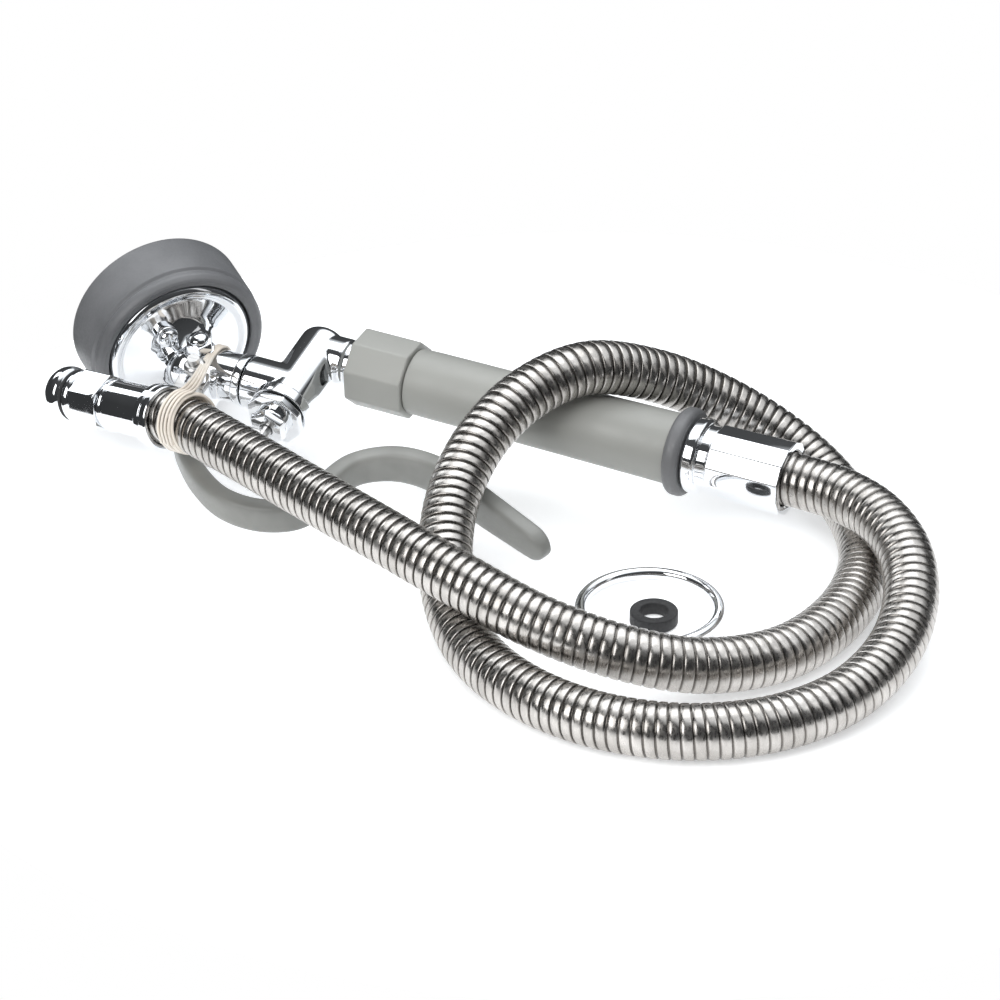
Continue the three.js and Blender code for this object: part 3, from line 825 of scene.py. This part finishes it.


# Known fault, left as it is: the plates seem to reach the union inside out. The resulting mesh has
# no eyes, no cross pieces and no hole for the pin, and it keeps the rod that should cut that hole.
def add_lever_fork():
    px, py = PIVOT
    corners = rounded([
        (px - EYE_R, py), (px - 5, py - 9), (px - 2, py - 20), (px + 9, py - 22.6),
        (px + 22, py - 22.6), (px + 38, py - 23.6), (px + 38, py - 18.4), (px + 22, py - 18.4),
        (px + 12, py - 16), (px + EYE_R, py - 8), (px + EYE_R, py), (px - EYE_R, py),
    ], 2.5, 4)[:-1]

    def cheek(start, end):
        eye = upright(rod(EYE_R, start - EYE_PROUD, end + EYE_PROUD, 0.3), px, py)
        return union(extruded(corners, start, end, 0.3), eye)

    pad = block(9, 4.6, 2 * FORK_OUTER - 1, BARREL_X, py - 21, 0)
    root = block(8, 6, 2 * FORK_OUTER - 1, px + 3, py - 19.5, 0)
    fork = union(cheek(FORK_INNER, FORK_OUTER), cheek(-FORK_OUTER, -FORK_INNER), pad, root)
    hole = upright(rod(FORK_HOLE_R, -PIN_CUT_HALF, PIN_CUT_HALF), px, py)
    fine("lever_fork", cut(fork, hole), VALVE)


LEVER_LINE = [
    (-37, -60.9), (-33, -66), (-22, -76), (-7, -84), (9, -84.5), (21, -78), (25, -64), (30, -51),
    (43, -43), (61, -43.2), (87, -53.5), (118, -66),
]
LEVER_WIDTHS = [(-40, 6.2), (30, 6.4), (60, 8.0), (84, 8.4), (104, 7.0), (118, 5.6)]
LEVER_HALF_T = 4
LEVER_TIP = 7
LEVER_END_X = 116.2
LEVER_SIDES = 40
LEVER_ROOT_SHARE = 0.82  # of the full section, where the coat starts
LEVER_ROOT_GROWTH = 8
# Powers below 1 square the section off, across its width and across its thickness.
LEVER_WIDE_POWER = 0.62
LEVER_FLAT_POWER = 0.5


def add_lever_grip():
    points = centripetal([(x, y, 0) for x, y in LEVER_LINE], 24)
    line = Line(points[points[:, 0] < LEVER_END_X])
    stations = np.concatenate([
        np.linspace(0, line.length - LEVER_TIP, 150),
        line.length - LEVER_TIP * (1 - np.sin(np.linspace(0, math.pi / 2, 14)[1:-1])),
    ])
    centre, wide, flat = line.frame(stations)
    xs, ws = zip(*LEVER_WIDTHS)
    bm = bmesh.new()
    rings = []
    for s, c, u, v in zip(stations, centre, wide, flat):
        left = max(0.0, s - (line.length - LEVER_TIP)) / LEVER_TIP
        taper = math.sqrt(1 - left ** 2)
        start = min(1.0, LEVER_ROOT_SHARE + s / LEVER_ROOT_GROWTH)
        w = np.interp(c[0], xs, ws) * taper * start
        t = LEVER_HALF_T * (0.35 + 0.65 * taper) * start * (1 if left < 0.999 else 0)
        ring = []
        for k in range(LEVER_SIDES):
            a = 2 * math.pi * k / LEVER_SIDES
            ca, sa = math.cos(a), math.sin(a)
            across = u * w * math.copysign(abs(ca) ** LEVER_WIDE_POWER, ca)
            through = v * t * math.copysign(abs(sa) ** LEVER_FLAT_POWER, sa)
            ring.append(bm.verts.new(c + across + through))
        rings.append(ring)
    for first, second in zip(rings, rings[1:]):
        bridge(bm, first, second)
    for ring, end in ((rings[0], 0.0), (rings[-1], line.length)):
        middle = bm.verts.new(line.frame(np.array([end]))[0][0])
        bridge(bm, [middle], ring)
    fine("lever_grip", tidy(bm), VALVE, sharp=70)


def add_pivot():
    pin = lathe(rounded([
        (0, -14.2), (PIN_R, -14.2), (PIN_R, 14.4), (4.2, 14.4), (4.2, 16.4), (3.4, 17.3), (0, 17.6),
    ], 0.4), 64)
    groove = sleeve(1.7, 4, -13.6, -12.8, 0.05, 64)
    fine("pivot_pin", cut(pin, groove), PIN)


# ---------- grip ----------
def add_grip():
    collar = cut(
        prism(8, COLLAR_ACROSS, COLLAR_ACROSS, COLLAR_FROM, COLLAR_TO, 0.8,
              turn=math.pi / 8 + COLLAR_TURN),
        lathe(rounded([(0, 0), (9.6, 0), (9.6, 15), (TUBE_R + 0.5, 15.1), (TUBE_R + 0.5, 24),
                       (11.2, 24), (11.2, 40), (0, 40)], 0.1), 96),
    )
    fine("grip_collar", collar, VALVE)
    lip = [
        (TUBE_R + GAP, 24.5), (10.9, 24.5), (10.9, COLLAR_TO + GAP), (12.4, COLLAR_TO + GAP),
        (12.6, 36), (12.65, 42), (12.7, 70), (13.1, 110), (13.4, SLEEVE_TO),
        (TUBE_R + GAP, SLEEVE_TO), (TUBE_R + GAP, 24.5),
    ]
    fine("grip_sleeve", lathe(rounded(lip, 0.5), 128), VALVE, sharp=50)
    loop = [
        (TUBE_R + GAP, SLEEVE_TO + GAP), (15.2, SLEEVE_TO + GAP), (16.6, SLEEVE_TO + 1.8),
        (16.6, END_RING_TO - 1.4), (15.4, END_RING_TO), (TUBE_R + GAP, END_RING_TO),
        (TUBE_R + GAP, SLEEVE_TO + GAP),
    ]
    fine("end_ring", lathe(rounded(loop, 1.4, 6), 128), VALVE, sharp=60)
    start = END_RING_TO + GAP
    loop = [
        (TUBE_R + GAP, start), (13.4, start), (14.2, start + 0.9), (14.2, start + 4.5),
        (13.4, start + 5.3), (12.4, start + 5.6), (12.4, FLANGE_TO), (TUBE_R + GAP, FLANGE_TO),
        (TUBE_R + GAP, start),
    ]
    fine("flange_ring", lathe(rounded(loop, 0.7, 5), 128), VALVE)
    start = FLANGE_TO + GAP
    pocket_from = FERRULE_TO - FERRULE_POCKET
    ferrule = cut(
        prism(12, 26.4, 27, start, FERRULE_TO, 0.35, turn=0),
        lathe(rounded([
            (0, start - 1), (TUBE_R + GAP, start - 1), (TUBE_R + GAP, pocket_from),
            (HOSE_R + 0.4, pocket_from), (HOSE_R + 0.4, FERRULE_TO - 0.8),
            (HOSE_R + 1.4, FERRULE_TO + 0.2), (0, FERRULE_TO + 1),
        ], 0.2), 96),
    )
    fine("hose_ferrule", ferrule, VALVE)


# ---------- inlet end ----------
O_RING_AT = 44.5
O_RING_R = 9.2
O_RING_WIRE_R = 0.62


def add_inlet():
    crimp = lathe(rounded([
        (HOSE_R + 0.3, -5.5), (11.5, -5.5), (12, -4.8), (12, -2.2), (11.5, -1.9), (12, -1.5),
        (12, 0.7), (11.2, 1.6), (5, 1.6), (5, 0.3), (HOSE_R + 0.3, 0.3), (HOSE_R + 0.3, -5.5),
    ], 0.5), 128)
    made = [fine("crimp_ring", crimp, INLET)]
    ferrule = lathe(rounded([
        (5, 1.9), (9.4, 1.9), (9.8, 2.6), (9.8, 20.6), (9.4, 21.1), (9.4, 21.9), (9.8, 22.4),
        (9.8, 23.6), (9.3, 24.1), (7.2, 24.1), (7.2, 18), (5, 18), (5, 1.9),
    ], 0.4), 128)
    made.append(fine("inlet_ferrule", ferrule, INLET))
    spin = cut(
        union(prism(6, 20, 20, 24.4, 38.6, 0.55), rod(6.9, 19, 27)),
        rod(4.8, 18, 37),
        rod(7.6, 35.6, 40),
    )
    made.append(fine("inlet_hex", spin, INLET))
    nipple = lathe(rounded([
        (5.6, 35.9), (7.3, 35.9), (7.3, 39.3), (9.2, 39.6), (10.2, 41), (10.2, 42.4), (8.6, 43.4),
        (8.6, 45.6), (10, 46.6), (10.4, 48.6), (9.9, 51.2), (8.4, 53.6), (6.4, 53.6), (5.6, 52.8),
        (5.6, 35.9),
    ], 1.0, 5), 128)
    made.append(fine("inlet_nipple", nipple, INLET, sharp=45))
    section = [
        (O_RING_R + O_RING_WIRE_R * math.cos(a), O_RING_AT + O_RING_WIRE_R * math.sin(a))
        for a in np.linspace(0, 2 * math.pi, 17)
    ]
    o_ring = lathe(section, 96)
    made.append(fine("inlet_o_ring", o_ring, INLET, sharp=60))
    return made


STRAND_SIDES = 12


def strand(points, radius):
    """A thin round cord of rubber through the points."""
    line = Line(points, side=(0.2, 0.3, 1))
    stations = np.linspace(0, line.length, len(points))
    centre, u, v = line.frame(stations)
    bm = bmesh.new()
    rings = []
    angles = [2 * math.pi * k / STRAND_SIDES for k in range(STRAND_SIDES)]
    for c, a, b in zip(centre, u, v):
        spokes = [radius * (math.cos(t) * a + math.sin(t) * b) for t in angles]
        rings.append([bm.verts.new(c + spoke) for spoke in spokes])
    for first, second in zip(rings, rings[1:]):
        bridge(bm, first, second)
    bm.faces.new(rings[0])
    bm.faces.new(rings[-1])
    return tidy(bm)


BAND_BACK = 16
BAND_R = 0.58
BAND_TURNS = 6
BAND_STRANDS = 4
BAND_HOOK_X = -44.8
BAND_WRAP_PITCH = 1.55
BAND_WRAP_LIFT = 0.75
BAND_STRAND_PITCH = 1.9  # on the hose
BAND_HOOK_PITCH = 0.8  # on the outlet tube
BAND_STRAND_LIFT = 2.1


def add_rubber_band():
    """A band wound round the hose and stretched over the head's outlet tube."""
    around = INLET @ Matrix.Translation((-BAND_BACK, 0, 0))
    table_from_band = TABLE.inverted() @ around
    wraps = []
    for k in range(BAND_TURNS):
        station = (k - (BAND_TURNS - 1) / 2) * BAND_WRAP_PITCH + 0.35 * math.sin(5 * k)
        tilt = 0.10 * math.sin(2.3 * k + 1)
        reach = HOSE_R + BAND_WRAP_LIFT + 0.35 * (k % 2)
        points = []
        for a in np.linspace(0, 2 * math.pi, 73):
            y, z = reach * math.cos(a), reach * math.sin(a)
            points.append(tuple(table_from_band @ Vector((station + tilt * y, y, z))))
        wraps.append(strand(points, BAND_R))
    far = INLET_DIRECTION.cross(Vector((0, 0, 1))).normalized()
    top = far.cross(INLET_DIRECTION)
    over_tube = TABLE.inverted() @ HEAD_TUBE
    for k in range(BAND_STRANDS):
        middle = Vector(behind_inlet(BAND_BACK + BAND_STRAND_PITCH * (k - (BAND_STRANDS - 1) / 2)))
        route = []
        for degrees in (110, 80, 50, 25, 5, -12):
            a = math.radians(degrees)
            spoke = math.cos(a) * top - math.sin(a) * far
            route.append(tuple(middle + (HOSE_R + BAND_STRAND_LIFT) * spoke))
        for degrees in (85, 110, 140, 175, 205):
            a = math.radians(degrees)
            reach = HEAD_TUBE_R + BAND_R + 0.2
            station = BAND_HOOK_X + BAND_HOOK_PITCH * k
            hooked = Vector((station, -reach * math.cos(a), reach * math.sin(a)))
            route.append(tuple(over_tube @ hooked))
        wraps.append(strand(centripetal(route, 8), BAND_R))
    return fine("rubber_band", merged(*wraps), TABLE, sharp=70)


# ---------- loose pieces ----------
def add_loose_pieces():
    circle = [(RING_R + RING_WIRE_R * math.cos(a), RING_WIRE_R * math.sin(a))
              for a in np.linspace(0, 2 * math.pi, 33)]
    wire = placed(lathe(circle, 192), UPRIGHT)
    fine("hold_down_ring", at(wire, *RING_AT, RING_WIRE_R), TABLE, sharp=70)
    loop = [
        (WASHER_HOLE_R, 0), (WASHER_R, 0), (WASHER_R, WASHER_T), (WASHER_HOLE_R, WASHER_T),
        (WASHER_HOLE_R, 0),
    ]
    washer = placed(lathe(rounded(loop, 0.7, 5), 128), UPRIGHT)
    fine("hose_washer", at(washer, *WASHER_AT, 0), TABLE, sharp=60)


# ---------- studio ----------
# A dark room with one large softbox overhead: how bright it is by how nearly a
# direction points at the middle of the softbox.
SOFTBOX_TOWARDS = (0.15, 0.30, 0.94)
ROOM = ((0.0, 0.035), (0.73, 0.06), (0.80, 0.45), (0.84, 1.0), (1.0, 1.0))
ROOM_STRENGTH = 1.35
FLOOR_R = 0.27  # small enough for the chrome to mirror the dark room past its edge
FLOOR_AT = (0.085, -0.01)
FLOOR_DROP = 0.0004
LIGHTS_TOWARDS = (0.03, 0.0, 0.02)
COOL_WHITE = (0.97, 0.985, 1)


def add_floor():
    bm = bmesh.new()
    bmesh.ops.create_circle(bm, cap_ends=True, segments=128, radius=FLOOR_R)
    mesh = bpy.data.meshes.new("floor")
    bm.to_mesh(mesh)
    bm.free()
    look = Look("floor_paper", Roughness=0.30, Emission_Strength=0.42)
    look.shader.inputs["Emission Color"].default_value = (*COOL_WHITE, 1)
    cloudy = look.span(look.noise(3, 2), 0, 1)
    look.colour(look.mix(cloudy, (0.93, 0.935, 0.94), (0.95, 0.955, 0.96)))
    mesh.materials.append(look.material)
    floor = bpy.data.objects.new("floor", mesh)
    floor.location = (*FLOOR_AT, -FLOOR_DROP)
    scene.collection.objects.link(floor)


def add_light(name, size, power, location, colour=(1, 1, 1), mirrored=True):
    data = bpy.data.lights.new(name, "AREA")
    data.shape = "RECTANGLE"
    data.size, data.size_y = size
    data.energy = power
    data.color = colour
    light = bpy.data.objects.new(name, data)
    scene.collection.objects.link(light)
    light.location = location
    light.rotation_mode = "QUATERNION"
    light.rotation_quaternion = (Vector(LIGHTS_TOWARDS) - light.location).to_track_quat("-Z", "Y")
    light.visible_glossy = mirrored


def add_world():
    world = bpy.data.worlds.new("studio")
    scene.world = world
    world.use_nodes = True
    tree = world.node_tree
    tree.nodes.clear()
    new = tree.nodes.new
    link = tree.links.new
    coordinates = new("ShaderNodeTexCoord")
    facing = new("ShaderNodeVectorMath")
    facing.operation = "DOT_PRODUCT"
    facing.inputs[1].default_value = Vector(SOFTBOX_TOWARDS).normalized()
    ramp = new("ShaderNodeValToRGB")
    elements = ramp.color_ramp.elements
    while len(elements) < len(ROOM):
        elements.new(0.5)
    for element, (position, level) in zip(elements, ROOM):
        element.position = position
        element.color = (level * 0.94, level * 0.97, level, 1)
    lit = new("ShaderNodeBackground")
    lit.inputs["Strength"].default_value = ROOM_STRENGTH
    seen = new("ShaderNodeBackground")
    seen.inputs["Color"].default_value = (1, 1, 1, 1)
    path = new("ShaderNodeLightPath")
    choose = new("ShaderNodeMixShader")
    output = new("ShaderNodeOutputWorld")
    link(coordinates.outputs["Generated"], facing.inputs[0])
    link(facing.outputs["Value"], ramp.inputs["Fac"])
    link(ramp.outputs["Color"], lit.inputs["Color"])
    link(path.outputs["Is Camera Ray"], choose.inputs[0])
    link(lit.outputs[0], choose.inputs[1])
    link(seen.outputs[0], choose.inputs[2])
    link(choose.outputs[0], output.inputs["Surface"])


add_camera()
hose, hose_path, hose_length = add_hose()
on_hose = add_inlet()
on_hose.append(add_rubber_band())
add_spray_head()
add_bumper()
add_spray_plate()
add_valve_body()
add_stem_line()
add_lever_fork()
add_lever_grip()
add_pivot()
add_grip()
add_loose_pieces()

for name, node in frame["nodes"].items():
    node.data.materials.clear()
    node.data.materials.append(LOOKS[SLOT_OF[name]])

add_floor()
add_world()
add_light("overhead", (1.6, 1.1), 9, (-0.25, 0.35, 1.5), colour=COOL_WHITE)
add_light("left_box", (0.5, 0.9), 4, (-1.3, 0.5, 0.9), colour=(0.95, 0.98, 1))
add_light("right_strip", (0.25, 1.2), 0.7, (1.2, 0.2, 0.9))
add_light("front_box", (0.7, 0.7), 5.5, (-0.30, -0.92, 0.62))
add_light("front_fill", (1.2, 0.8), 11, (0.35, -0.90, 1.2), mirrored=False)
scene.view_settings.view_transform = "Standard"
